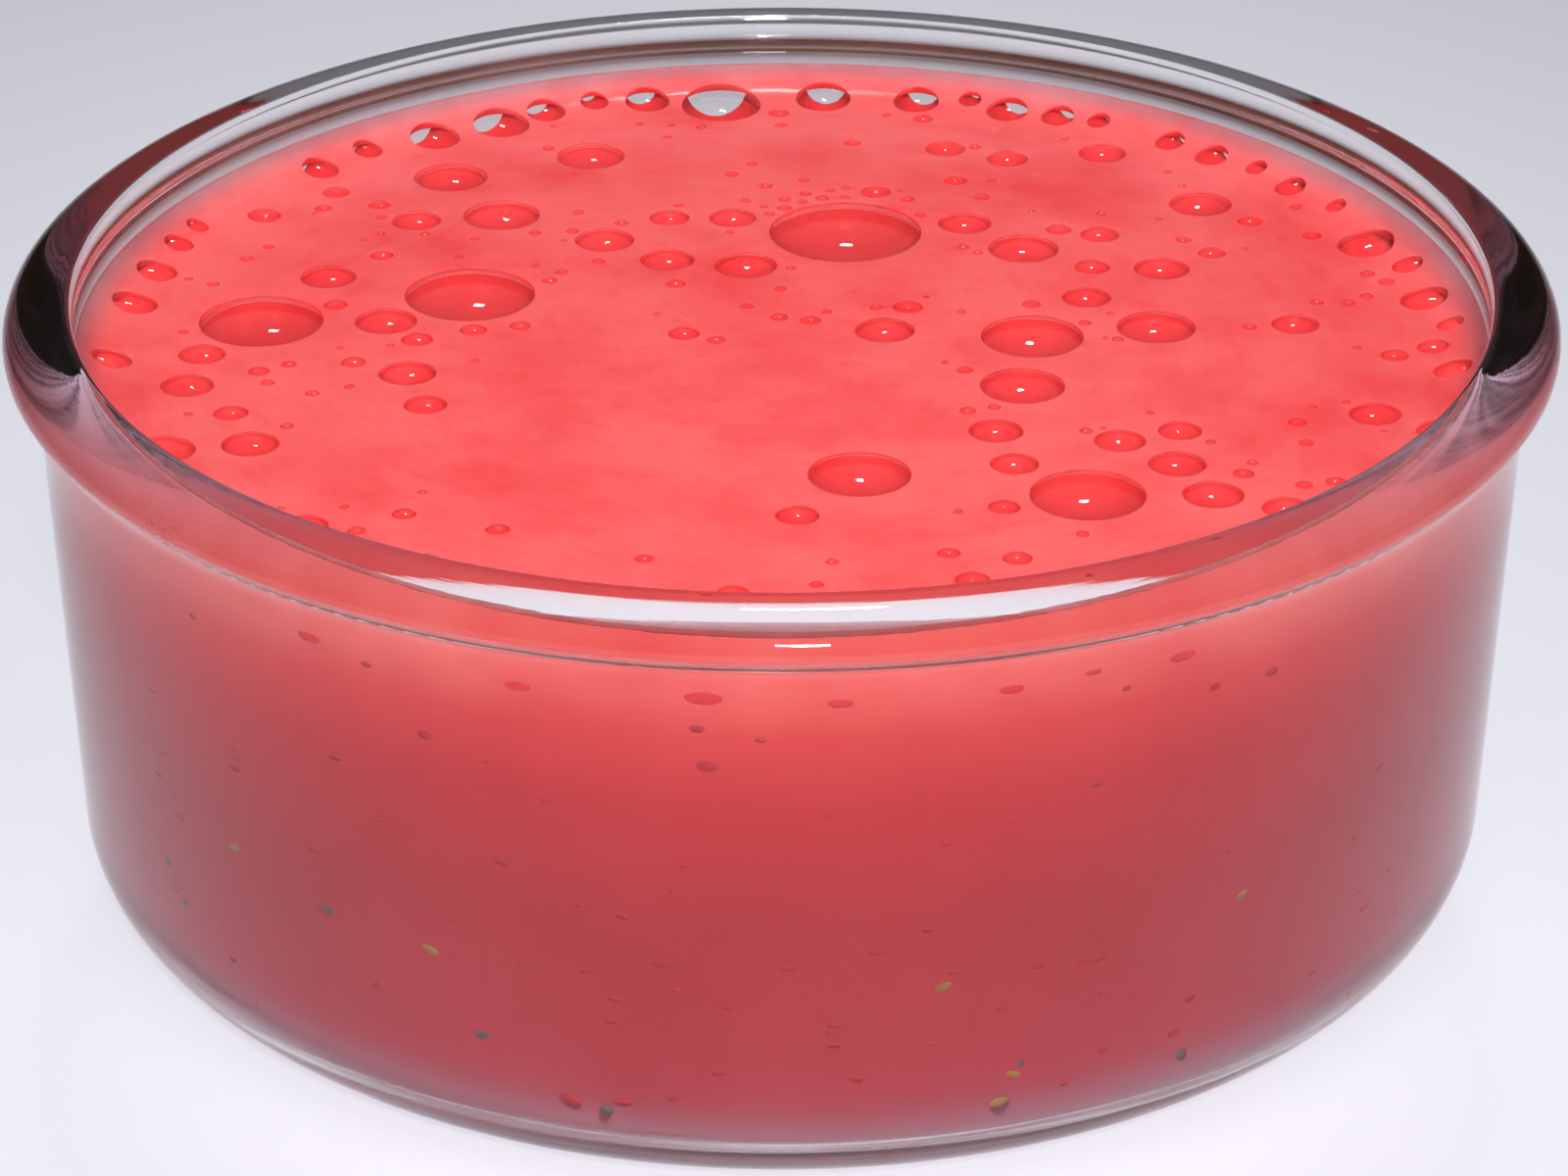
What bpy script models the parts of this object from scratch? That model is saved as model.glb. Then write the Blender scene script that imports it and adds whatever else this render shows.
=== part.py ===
"""Strawberry smoothie in a low round bowl of clear pressed glass.

The bowl is one turned piece: a flat base, a rounded bottom corner, a wall with a little
draft and a thick lip that flares outwards. The smoothie fills it to just below the lip,
climbs the wall a little as a meniscus, and carries a froth of loose bubbles whose domes
stand up from its surface.

Metres, +Z up. The origin is the centre of the base, on the surface the bowl stands on.
"""

import math
import random

import bmesh
import bpy

MM = 0.001

# Bowl, outside
RIM_RADIUS = 52.0 * MM
BOWL_HEIGHT = 43.0 * MM
LIP_CORNER = 1.8 * MM
FLARE_HEIGHT = 8.4 * MM
WALL_TOP_RADIUS = 49.7 * MM
WALL_LOW_RADIUS = 48.6 * MM
BOTTOM_CORNER = 6.7 * MM

# Bowl, inside
LIP_INNER_RADIUS = 47.8 * MM
FILL_LINE_RADIUS = 47.3 * MM
FLOOR_CORNER = 5.8 * MM
FLOOR_WALL_RADIUS = 45.6 * MM
BASE_THICKNESS = 3.6 * MM

# Smoothie
FILL_HEIGHT = 37.4 * MM
MENISCUS_RISE = 1.7 * MM
MENISCUS_REACH = 1.5 * MM
WALL_GAP = 0.3 * MM

BOWL_SEGMENTS = 80
SMOOTHIE_SEGMENTS = 72
SMOOTH_ANGLE = 40

# Large bubbles, one line for each part of the surface: (x, y, diameter) in millimetres
LARGE_BUBBLES = (
    # back, left of the middle
    (-24, 29.5, 5.3), (-14, 33.5, 5.0), (-20, 22.5, 5.5), (-26, 21.5, 3.5), (-12.5, 18, 4.2),
    (-8, 14.5, 3.8), (-2.5, 13.5, 4.4), (-8, 22, 2.9), (-3.5, 22, 3.4),
    # back, right of the middle
    (4.5, 19.5, 10.8), (13, 21, 3.8), (17, 16.5, 5.0), (30, 24.5, 4.5), (22.5, 19, 2.8),
    (26.5, 13, 3.9), (23.5, 34, 3.5), (16.5, 33, 3.0), (12, 35, 3.0),
    # left side
    (-21.5, 8.5, 9.0), (-35.5, 4, 8.5), (-27, 4, 4.3), (-31.5, 11.5, 3.9), (-25, -4.5, 3.9),
    (-23.5, -9.5, 2.9), (-39, -1.5, 3.2), (-39.5, -6.5, 3.6), (-34.5, -15.5, 3.8),
    (-40, -16.5, 4.2), (-30, -27.5, 3.1),
    # middle and right side
    (7, 2.5, 4.1), (17, 1.5, 7.0), (25.5, 3, 5.4), (16, -6.5, 5.7), (21, 8, 3.4),
    (35, 3.5, 3.3), (39, -11, 3.5),
    # front, right of the middle
    (19.5, -23, 7.5), (5, -20, 6.7), (14, -13.5, 3.6), (15, -18.5, 3.2), (22, -15, 3.4),
    (26, -13.5, 2.9), (25.5, -18.5, 3.8), (27.5, -23, 4.0), (32, -25, 3.2), (1, -26, 2.8),
)  # fmt: skip

# Bubbles that have drifted to the glass: (degrees round the wall from +X, diameter in mm)
WALL_BUBBLES = (
    (-18, 2.9), (-6, 2.7), (3, 1.9), (9, 3.4), (16, 2.2), (22, 4.1), (30, 1.5), (36, 2.3),
    (41, 1.6), (46, 2.5), (51, 2.2), (59, 1.7), (63, 2.5), (68, 3.1), (72, 1.7), (77, 3.4),
    (86, 4.1), (96, 5.9), (103, 3.3), (108, 2.1), (113, 2.9), (118, 4.2), (125, 3.7),
    (132, 2.2), (138, 2.7), (155, 1.6), (159, 2.1), (165, 2.9), (172, 3.2), (184, 2.8),
    (235, 2.5), (240, 1.7), (251, 2.5), (265, 3.4), (274, 2.1), (287, 2.0), (295, 1.6),
    (301, 2.2),
)  # fmt: skip
WALL_BUBBLE_CLEARANCE = 0.9 * MM

# Small bubbles are scattered between the others, and leave two bare patches, which are
# given as (x, y, radius) in millimetres. The bias makes the smaller sizes more common.
SMALL_BUBBLE_COUNT = 74
SMALL_BUBBLE_DIAMETER = (1.0 * MM, 2.6 * MM)
SMALL_BUBBLE_SPACING = 0.45 * MM
SMALL_BUBBLE_REACH = 6.5 * MM
SMALL_BUBBLE_FIELD = 44.0 * MM
SMALL_BUBBLE_BIAS = 1.7
BARE_PATCHES = ((-9, -14, 15.5), (31, -4, 6))
BUBBLE_SEED = 11

# A dome's height is a share of its bubble's diameter, and small bubbles stand up more. One
# too small to show from a step away has no dome of its own.
DOME_SHARE = 0.1
SMALL_DOME_SHARE = 0.09
SMALL_DOME_SIZE = 4.0 * MM
SMALLEST_DOME = 1.7 * MM
DOME_SIDES = (8, 16)
DOME_SINK = 0.7 * MM
DOME_FOOT = 0.1
DOME_SHOULDER = (0.68, 0.62)


def principled(name, colour, roughness, transmission=0.0, ior=1.45, alpha=1.0):
    """A plain material with the piece's own colour and gloss."""
    material = bpy.data.materials.new(name)
    material.use_nodes = True
    shader = material.node_tree.nodes["Principled BSDF"]
    shader.inputs["Base Color"].default_value = (*colour, 1.0)
    shader.inputs["Roughness"].default_value = roughness
    shader.inputs["Metallic"].default_value = 0.0
    shader.inputs["Transmission Weight"].default_value = transmission
    shader.inputs["IOR"].default_value = ior
    shader.inputs["Alpha"].default_value = alpha
    return material


def arc(centre, radius, start, end, steps):
    """Points (r, z) on an arc, from start to end in degrees, both ends included."""
    points = []
    for i in range(steps + 1):
        angle = math.radians(start + (end - start) * i / steps)
        points.append((centre[0] + radius * math.cos(angle), centre[1] + radius * math.sin(angle)))
    return points


def outer_wall_radius(z):
    """The bowl's outer radius at a height above the bottom corner."""
    flare_start = BOWL_HEIGHT - LIP_CORNER - FLARE_HEIGHT
    if z <= flare_start:
        share = (z - BOTTOM_CORNER) / (flare_start - BOTTOM_CORNER)
        return WALL_LOW_RADIUS + (WALL_TOP_RADIUS - WALL_LOW_RADIUS) * share
    share = (z - flare_start) / FLARE_HEIGHT
    return WALL_TOP_RADIUS + (RIM_RADIUS - WALL_TOP_RADIUS) * share**2


def inner_wall_radius(z):
    """The bowl's inner radius at a height above the floor's corner."""
    floor_top = BASE_THICKNESS + FLOOR_CORNER
    if z <= FILL_HEIGHT:
        share = (z - floor_top) / (FILL_HEIGHT - floor_top)
        return FLOOR_WALL_RADIUS + (FILL_LINE_RADIUS - FLOOR_WALL_RADIUS) * share
    share = (z - FILL_HEIGHT) / (BOWL_HEIGHT - LIP_CORNER - FILL_HEIGHT)
    return FILL_LINE_RADIUS + (LIP_INNER_RADIUS - FILL_LINE_RADIUS) * share


def bowl_outline():
    """From the middle of the floor up the inside, over the lip and down the outside."""
    floor_corner = (FLOOR_WALL_RADIUS - FLOOR_CORNER, BASE_THICKNESS + FLOOR_CORNER)
    points = [(0.0, BASE_THICKNESS)] + arc(floor_corner, FLOOR_CORNER, -90, 0, 6)
    lip_base = BOWL_HEIGHT - LIP_CORNER
    for z in (FLOOR_CORNER + BASE_THICKNESS + 14 * MM, FILL_HEIGHT):
        points.append((inner_wall_radius(z), z))
    points += arc((LIP_INNER_RADIUS + LIP_CORNER, lip_base), LIP_CORNER, 180, 90, 5)
    points += arc((RIM_RADIUS - LIP_CORNER, lip_base), LIP_CORNER, 90, 0, 5)
    for i in range(1, 5):
        z = lip_base - FLARE_HEIGHT * i / 4
        points.append((outer_wall_radius(z), z))
    points += arc((WALL_LOW_RADIUS - BOTTOM_CORNER, BOTTOM_CORNER), BOTTOM_CORNER, 0, -90, 7)
    points.append((0.0, 0.0))
    return points


def surface_height(r):
    """The liquid's top: level in the middle, and climbing the glass at the edge."""
    wall = inner_wall_radius(FILL_HEIGHT)
    return FILL_HEIGHT + MENISCUS_RISE * math.exp(-(wall - r) / MENISCUS_REACH)


def smoothie_outline():
    """From the middle of the surface out to the glass, down the wall and in along the floor."""
    edge = FILL_LINE_RADIUS - WALL_GAP
    level_radius = edge - 4.0 * MENISCUS_REACH
    points = [(0.0, FILL_HEIGHT), (level_radius, FILL_HEIGHT)]
    for share in (0.35, 0.6, 0.78, 0.9, 1.0):
        r = level_radius + (edge - level_radius) * share
        points.append((r, surface_height(r)))
    floor_corner = (FLOOR_WALL_RADIUS - FLOOR_CORNER, BASE_THICKNESS + FLOOR_CORNER)
    for i in range(1, 4):
        z = FILL_HEIGHT + (floor_corner[1] - FILL_HEIGHT) * (i - 1) / 3
        points.append((inner_wall_radius(z) - WALL_GAP, z))
    points += arc(floor_corner, FLOOR_CORNER - WALL_GAP, 0, -90, 6)
    points.append((0.0, BASE_THICKNESS + WALL_GAP))
    return points


def turned(name, outline, segments, material):
    """A closed solid made by turning an outline round Z. The outline starts and ends on Z."""
    mesh = bpy.data.meshes.new(name)
    edges = [(i, i + 1) for i in range(len(outline) - 1)]
    mesh.from_pydata([(r, 0.0, z) for r, z in outline], edges, [])
    solid = bpy.data.objects.new(name, mesh)
    bpy.context.scene.collection.objects.link(solid)
    screw = solid.modifiers.new("Turn", "SCREW")
    screw.axis = "Z"
    screw.steps = segments
    screw.render_steps = segments
    screw.use_merge_vertices = True
    screw.merge_threshold = 0.00001
    screw.use_normal_calculate = True
    apply_modifier(solid, screw)
    solid.data.materials.append(material)
    solid.data.shade_smooth()
    solid.data.set_sharp_from_angle(angle=math.radians(SMOOTH_ANGLE))
    return solid


def apply_modifier(solid, modifier):
    with bpy.context.temp_override(object=solid, active_object=solid, selected_objects=[solid]):
        bpy.ops.object.modifier_apply(modifier=modifier.name)


def on_bare_patch(x, y):
    """True on the parts of the surface that the froth leaves bare."""
    return any(math.hypot(x / MM - px, y / MM - py) < reach for px, py, reach in BARE_PATCHES)


def bubble_layout():
    """All the bubbles of the froth as (x, y, diameter), in metres."""
    bubbles = [(x * MM, y * MM, diameter * MM) for x, y, diameter in LARGE_BUBBLES]
    for degrees, diameter in WALL_BUBBLES:
        reach = FILL_LINE_RADIUS - WALL_BUBBLE_CLEARANCE - diameter * MM / 2
        angle = math.radians(degrees)
        bubbles.append((reach * math.cos(angle), reach * math.sin(angle), diameter * MM))
    rng = random.Random(BUBBLE_SEED)
    wanted = len(bubbles) + SMALL_BUBBLE_COUNT
    while len(bubbles) < wanted:
        angle = rng.uniform(0.0, 2.0 * math.pi)
        reach = SMALL_BUBBLE_FIELD * math.sqrt(rng.random())
        low, high = SMALL_BUBBLE_DIAMETER
        diameter = low + (high - low) * rng.random() ** SMALL_BUBBLE_BIAS
        x, y = reach * math.cos(angle), reach * math.sin(angle)
        gaps = [math.hypot(x - bx, y - by) - (diameter + bd) / 2 for bx, by, bd in bubbles]
        if SMALL_BUBBLE_SPACING < min(gaps) < SMALL_BUBBLE_REACH and not on_bare_patch(x, y):
            bubbles.append((x, y, diameter))
    return bubbles


def dome_height(diameter):
    """Small bubbles stand up more, for their width, than large ones."""
    return diameter * (DOME_SHARE + SMALL_DOME_SHARE * math.exp(-diameter / SMALL_DOME_SIZE))


def dome(index, x, y, diameter):
    """A bubble's dome with a straight skirt that reaches down into the liquid."""
    radius, height = diameter / 2, dome_height(diameter)
    sides = min(DOME_SIDES[1], max(DOME_SIDES[0], round(1.6 * diameter / MM) + 4))
    shoulder = (DOME_SHOULDER[0] * radius, DOME_SHOULDER[1] * height)
    rings = [(radius, -DOME_SINK), (radius, DOME_FOOT * height), shoulder]
    dome_mesh = bmesh.new()
    loops = []
    for ring_radius, z in rings:
        loop = []
        for k in range(sides):
            angle = 2.0 * math.pi * (k + 0.5 * (index % 2)) / sides
            px, py = x + ring_radius * math.cos(angle), y + ring_radius * math.sin(angle)
            loop.append(dome_mesh.verts.new((px, py, surface_height(math.hypot(px, py)) + z)))
        loops.append(loop)
    for low, high in zip(loops, loops[1:]):
        for k in range(sides):
            n = (k + 1) % sides
            dome_mesh.faces.new((low[k], low[n], high[n], high[k]))
    crown = dome_mesh.verts.new((x, y, surface_height(math.hypot(x, y)) + height))
    for k in range(sides):
        dome_mesh.faces.new((loops[-1][k], loops[-1][(k + 1) % sides], crown))
    dome_mesh.faces.new(list(reversed(loops[0])))
    mesh = bpy.data.meshes.new(f"dome_{index}")
    dome_mesh.to_mesh(mesh)
    dome_mesh.free()
    return bpy.data.objects.new(f"dome_{index}", mesh)


def add_froth(smoothie):
    """Fuses the domes of the bubbles to the liquid's surface with one Boolean union."""
    froth = bpy.data.collections.new("froth")
    bpy.context.scene.collection.children.link(froth)
    for index, (x, y, diameter) in enumerate(bubble_layout()):
        if diameter >= SMALLEST_DOME:
            froth.objects.link(dome(index, x, y, diameter))
    fuse = smoothie.modifiers.new("Froth", "BOOLEAN")
    fuse.operation = "UNION"
    fuse.operand_type = "COLLECTION"
    fuse.collection = froth
    fuse.solver = "EXACT"
    apply_modifier(smoothie, fuse)
    for piece in list(froth.objects):
        bpy.data.objects.remove(piece)
    bpy.data.collections.remove(froth)


def main():
    for piece in list(bpy.data.objects):
        bpy.data.objects.remove(piece)
    glass = principled("clear_glass", (0.93, 0.96, 0.96), 0.02, transmission=1.0, ior=1.5, alpha=0.35)
    fruit = principled("strawberry_smoothie", (0.83, 0.13, 0.14), 0.25)
    turned("glass_bowl", bowl_outline(), BOWL_SEGMENTS, glass)
    smoothie = turned("smoothie", smoothie_outline(), SMOOTHIE_SEGMENTS, fruit)
    add_froth(smoothie)


main()
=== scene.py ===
import math
import random

import bmesh
import bpy
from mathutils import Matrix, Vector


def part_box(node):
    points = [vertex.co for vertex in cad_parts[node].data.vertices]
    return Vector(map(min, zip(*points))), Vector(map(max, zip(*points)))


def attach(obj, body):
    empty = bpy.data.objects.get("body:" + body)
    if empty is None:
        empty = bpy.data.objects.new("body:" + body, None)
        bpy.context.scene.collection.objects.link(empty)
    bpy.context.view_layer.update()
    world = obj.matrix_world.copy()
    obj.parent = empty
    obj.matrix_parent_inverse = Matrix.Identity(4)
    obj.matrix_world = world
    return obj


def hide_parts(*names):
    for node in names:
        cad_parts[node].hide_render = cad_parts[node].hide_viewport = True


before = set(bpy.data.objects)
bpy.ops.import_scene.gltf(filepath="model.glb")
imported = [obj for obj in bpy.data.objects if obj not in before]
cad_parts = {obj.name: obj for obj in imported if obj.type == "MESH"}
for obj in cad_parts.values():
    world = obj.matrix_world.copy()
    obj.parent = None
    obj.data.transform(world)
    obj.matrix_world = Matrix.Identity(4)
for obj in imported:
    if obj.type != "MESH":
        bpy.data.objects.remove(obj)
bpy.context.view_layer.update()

MM = 0.001

# The bowl
# A low round dish of clear soda-lime glass, pressed in one go and fire polished. It has a
# flat base, a rounded bottom corner, a nearly upright wall that flares a little, and a thick
# rounded bead for a rim, domed on the outside and with a tight corner on the inside.

bowl_low, bowl_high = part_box("glass_bowl")
RIM_RADIUS = bowl_high.x
BOWL_HEIGHT = bowl_high.z
BOWL_SIDES = 192
BASE_THICKNESS = 2.4 * MM
BOTTOM_CORNER = 6.7 * MM
WALL_LOW_RADIUS = 48.6 * MM
FLARE_START = 31.5 * MM
WALL_TOP_RADIUS = 49.7 * MM
FLARE_STEPS = 6
BEAD_START = 39.4 * MM
BEAD_START_RADIUS = 50.9 * MM
BEAD_MIDDLE = 40.7 * MM
BEAD_FULLNESS = 2.4
BEAD_STEPS = 8
BEAD_CROWN = 3.7 * MM
CROWN_STEPS = 16
LIP_INNER_RADIUS = 47.4 * MM
LIP_INNER_CORNER = 0.4 * MM
FILL_HEIGHT = 37.4 * MM
FILL_LINE_RADIUS = 47.3 * MM
FLOOR_CORNER = 5.8 * MM
FLOOR_WALL_RADIUS = 45.6 * MM
ABOVE_BOTTOM_CORNER = 0.5 * MM
ABOVE_FLOOR_CORNER = 0.3 * MM
FLAT_MARGIN = 0.4 * MM
NEAR = 0.01 * MM

GLASS_TINT = (0.955, 0.985, 0.985, 1.0)
GLASS_IOR = 1.5
GLASS_PASSES = 0.93
SCUFFED_FROM = 51.3 * MM
SCUFFED_ALL = 51.7 * MM


def turned_solid(name, rings, sides):
    """Raises a closed turned solid from a circle, one extruded ring for each (radius, height)."""
    bpy.ops.object.select_all(action="DESELECT")
    radius, height = rings[0]
    bpy.ops.mesh.primitive_circle_add(vertices=sides, radius=radius, location=(0, 0, height))
    solid = bpy.context.object
    solid.name = name
    bpy.ops.object.transform_apply(location=True, rotation=True, scale=True)
    bpy.ops.object.mode_set(mode="EDIT")
    bpy.ops.mesh.select_mode(type="EDGE")
    bpy.ops.mesh.select_all(action="SELECT")
    for next_radius, next_height in rings[1:]:
        rise = (0, 0, next_height - height)
        bpy.ops.mesh.extrude_region_move(TRANSFORM_OT_translate={"value": rise})
        spread = next_radius / radius
        bpy.ops.transform.resize(value=(spread, spread, 1), center_override=(0, 0, next_height))
        radius, height = next_radius, next_height
    bpy.ops.mesh.select_all(action="SELECT")
    bpy.ops.mesh.fill_holes(sides=0)
    bpy.ops.mesh.select_all(action="SELECT")
    bpy.ops.mesh.normals_make_consistent(inside=False)
    bpy.ops.object.mode_set(mode="OBJECT")
    return solid


def round_ring(solid, radius, height, width, steps):
    """Bevels the ring of edges at one radius and height."""
    bpy.ops.object.mode_set(mode="EDIT")
    bpy.ops.mesh.select_mode(type="EDGE")
    bpy.ops.mesh.select_all(action="DESELECT")
    shape = bmesh.from_edit_mesh(solid.data)
    for edge in shape.edges:
        offsets = [max(abs(v.co.xy.length - radius), abs(v.co.z - height)) for v in edge.verts]
        edge.select_set(max(offsets) < NEAR)
    bmesh.update_edit_mesh(solid.data)
    bpy.ops.mesh.bevel(offset=width, segments=steps, profile=0.5, affect="EDGES")
    bpy.ops.object.mode_set(mode="OBJECT")


def select_flat_ends(solid):
    """Goes to edit mode, and selects the faces of many corners that close a turned solid."""
    bpy.ops.object.mode_set(mode="EDIT")
    bpy.ops.mesh.select_mode(type="FACE")
    bpy.ops.mesh.select_all(action="DESELECT")
    shape = bmesh.from_edit_mesh(solid.data)
    for face in shape.faces:
        face.select_set(len(face.verts) > 8)
    bmesh.update_edit_mesh(solid.data)


def smooth(solid, angle):
    """Shades a piece smooth, apart from the edges that are sharper than an angle in degrees."""
    bpy.ops.object.select_all(action="DESELECT")
    solid.select_set(True)
    bpy.context.view_layer.objects.active = solid
    bpy.ops.object.shade_smooth_by_angle(angle=math.radians(angle))


def inner_wall_radius(z):
    """The bowl's inner radius at a height above the floor's corner."""
    floor_top = BASE_THICKNESS + FLOOR_CORNER
    if z <= FILL_HEIGHT:
        share = (z - floor_top) / (FILL_HEIGHT - floor_top)
        return FLOOR_WALL_RADIUS + (FILL_LINE_RADIUS - FLOOR_WALL_RADIUS) * share
    share = (z - FILL_HEIGHT) / (BOWL_HEIGHT - FILL_HEIGHT)
    return FILL_LINE_RADIUS + (LIP_INNER_RADIUS - FILL_LINE_RADIUS) * share


bowl_rings = [(WALL_LOW_RADIUS, 0), (WALL_LOW_RADIUS, BOTTOM_CORNER + ABOVE_BOTTOM_CORNER)]
for step in range(FLARE_STEPS + 1):
    share = step / FLARE_STEPS
    flare = (BEAD_START_RADIUS - WALL_TOP_RADIUS) * share**2
    bowl_rings.append((WALL_TOP_RADIUS + flare, FLARE_START + (BEAD_START - FLARE_START) * share))
for step in range(1, BEAD_STEPS + 1):
    share = step / BEAD_STEPS
    swell = (RIM_RADIUS - BEAD_START_RADIUS) * (1 - (1 - share) ** BEAD_FULLNESS)
    bowl_rings.append((BEAD_START_RADIUS + swell, BEAD_START + (BEAD_MIDDLE - BEAD_START) * share))
for step in range(1, CROWN_STEPS + 1):
    turn = math.pi / 2 * step / CROWN_STEPS
    crown_radius = RIM_RADIUS - BEAD_CROWN * (1 - math.cos(turn))
    bowl_rings.append((crown_radius, BEAD_MIDDLE + (BOWL_HEIGHT - BEAD_MIDDLE) * math.sin(turn)))
bowl_rings.append((LIP_INNER_RADIUS, BOWL_HEIGHT))
for z in (40.5 * MM, FILL_HEIGHT, 24 * MM, BASE_THICKNESS + FLOOR_CORNER + ABOVE_FLOOR_CORNER):
    bowl_rings.append((inner_wall_radius(z), z))
bowl_rings.append((FLOOR_WALL_RADIUS, BASE_THICKNESS))

bowl = turned_solid("pressed_glass_bowl", bowl_rings, BOWL_SIDES)
round_ring(bowl, WALL_LOW_RADIUS, 0, BOTTOM_CORNER, steps=12)
round_ring(bowl, FLOOR_WALL_RADIUS, BASE_THICKNESS, FLOOR_CORNER, steps=10)
round_ring(bowl, LIP_INNER_RADIUS, BOWL_HEIGHT, LIP_INNER_CORNER, steps=5)

# a narrow flat ring round the base's two flat faces keeps the rounding's shading off them
select_flat_ends(bowl)
bpy.ops.mesh.inset(thickness=FLAT_MARGIN)
bpy.ops.object.mode_set(mode="OBJECT")
smooth(bowl, 50)


def new_material(name):
    """A material with an empty node tree, and its tree."""
    material = bpy.data.materials.new(name)
    material.use_nodes = True
    material.node_tree.nodes.clear()
    return material, material.node_tree


def add_node(tree, kind, values=None, **settings):
    """Adds a node, with its settings and the values of its inputs."""
    node = tree.nodes.new(kind)
    for key, value in settings.items():
        setattr(node, key, value)
    for key, value in (values or {}).items():
        node.inputs[key].default_value = value
    return node


def noise(tree, scale, detail, roughness=0.5):
    """The output of a noise in the piece, at a scale in turns to the metre."""
    place = add_node(tree, "ShaderNodeTexCoord")
    values = {"Scale": scale, "Detail": detail, "Roughness": roughness}
    texture = add_node(tree, "ShaderNodeTexNoise", values)
    tree.links.new(place.outputs["Object"], texture.inputs["Vector"])
    return texture.outputs["Fac"]


def ranged(tree, value, low, high, to_low=0.0, to_high=1.0):
    """The output of a node that takes a value from one range to another, and stops at its ends."""
    values = {"From Min": low, "From Max": high, "To Min": to_low, "To Max": to_high}
    node = add_node(tree, "ShaderNodeMapRange", values)
    tree.links.new(value, node.inputs["Value"])
    return node.outputs["Result"]


def product(tree, first, second):
    """The output of a node that multiplies two values."""
    node = add_node(tree, "ShaderNodeMath", operation="MULTIPLY")
    tree.links.new(first, node.inputs[0])
    tree.links.new(second, node.inputs[1])
    return node.outputs["Value"]


def round_coordinates():
    """A node group with the distance from the bowl's axis, the angle round it and the height."""
    group = bpy.data.node_groups.new("round the bowl", "ShaderNodeTree")
    for name in ("Radius", "Angle", "Height"):
        group.interface.new_socket(name, in_out="OUTPUT", socket_type="NodeSocketFloat")
    place = add_node(group, "ShaderNodeTexCoord")
    parts = add_node(group, "ShaderNodeSeparateXYZ")
    across = add_node(group, "ShaderNodeVectorMath", operation="MULTIPLY")
    across.inputs[1].default_value = (1.0, 1.0, 0.0)
    radius = add_node(group, "ShaderNodeVectorMath", operation="LENGTH")
    angle = add_node(group, "ShaderNodeMath", operation="ARCTAN2")
    out = add_node(group, "NodeGroupOutput")
    group.links.new(place.outputs["Object"], parts.inputs["Vector"])
    group.links.new(place.outputs["Object"], across.inputs[0])
    group.links.new(across.outputs["Vector"], radius.inputs[0])
    group.links.new(parts.outputs["Y"], angle.inputs[0])
    group.links.new(parts.outputs["X"], angle.inputs[1])
    group.links.new(radius.outputs["Value"], out.inputs["Radius"])
    group.links.new(angle.outputs["Value"], out.inputs["Angle"])
    group.links.new(parts.outputs["Z"], out.inputs["Height"])
    return group


ROUND_THE_BOWL = round_coordinates()


def streaks(tree, along, across, detail):
    """The output of a noise drawn out round the bowl.

    Its scale is along turns to the radian round the bowl, and across turns to the metre.
    """
    bowl_place = add_node(tree, "ShaderNodeGroup", node_tree=ROUND_THE_BOWL)
    stretch = add_node(tree, "ShaderNodeCombineXYZ")
    for output, size, axis in (("Radius", across, "X"), ("Angle", along, "Y"), ("Height", across, "Z")):
        scaled = add_node(tree, "ShaderNodeMath", operation="MULTIPLY")
        scaled.inputs[1].default_value = size
        tree.links.new(bowl_place.outputs[output], scaled.inputs[0])
        tree.links.new(scaled.outputs["Value"], stretch.inputs[axis])
    texture = add_node(tree, "ShaderNodeTexNoise", {"Scale": 1.0, "Detail": detail})
    tree.links.new(stretch.outputs["Vector"], texture.inputs["Vector"])
    return texture.outputs["Fac"]


def clear_to_lamps(tree, shader, passed):
    """Lets a share of the light that falls on other things straight through a clear shader."""
    path = add_node(tree, "ShaderNodeLightPath")
    lights_up = add_node(tree, "ShaderNodeMath", operation="MAXIMUM")
    through = add_node(tree, "ShaderNodeBsdfTransparent", {"Color": (passed, passed, passed, 1.0)})
    mix = add_node(tree, "ShaderNodeMixShader")
    output = add_node(tree, "ShaderNodeOutputMaterial")
    tree.links.new(path.outputs["Is Shadow Ray"], lights_up.inputs[0])
    tree.links.new(path.outputs["Is Diffuse Ray"], lights_up.inputs[1])
    tree.links.new(lights_up.outputs["Value"], mix.inputs["Fac"])
    tree.links.new(shader.outputs["BSDF"], mix.inputs[1])
    tree.links.new(through.outputs["BSDF"], mix.inputs[2])
    tree.links.new(mix.outputs["Shader"], output.inputs["Surface"])


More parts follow.
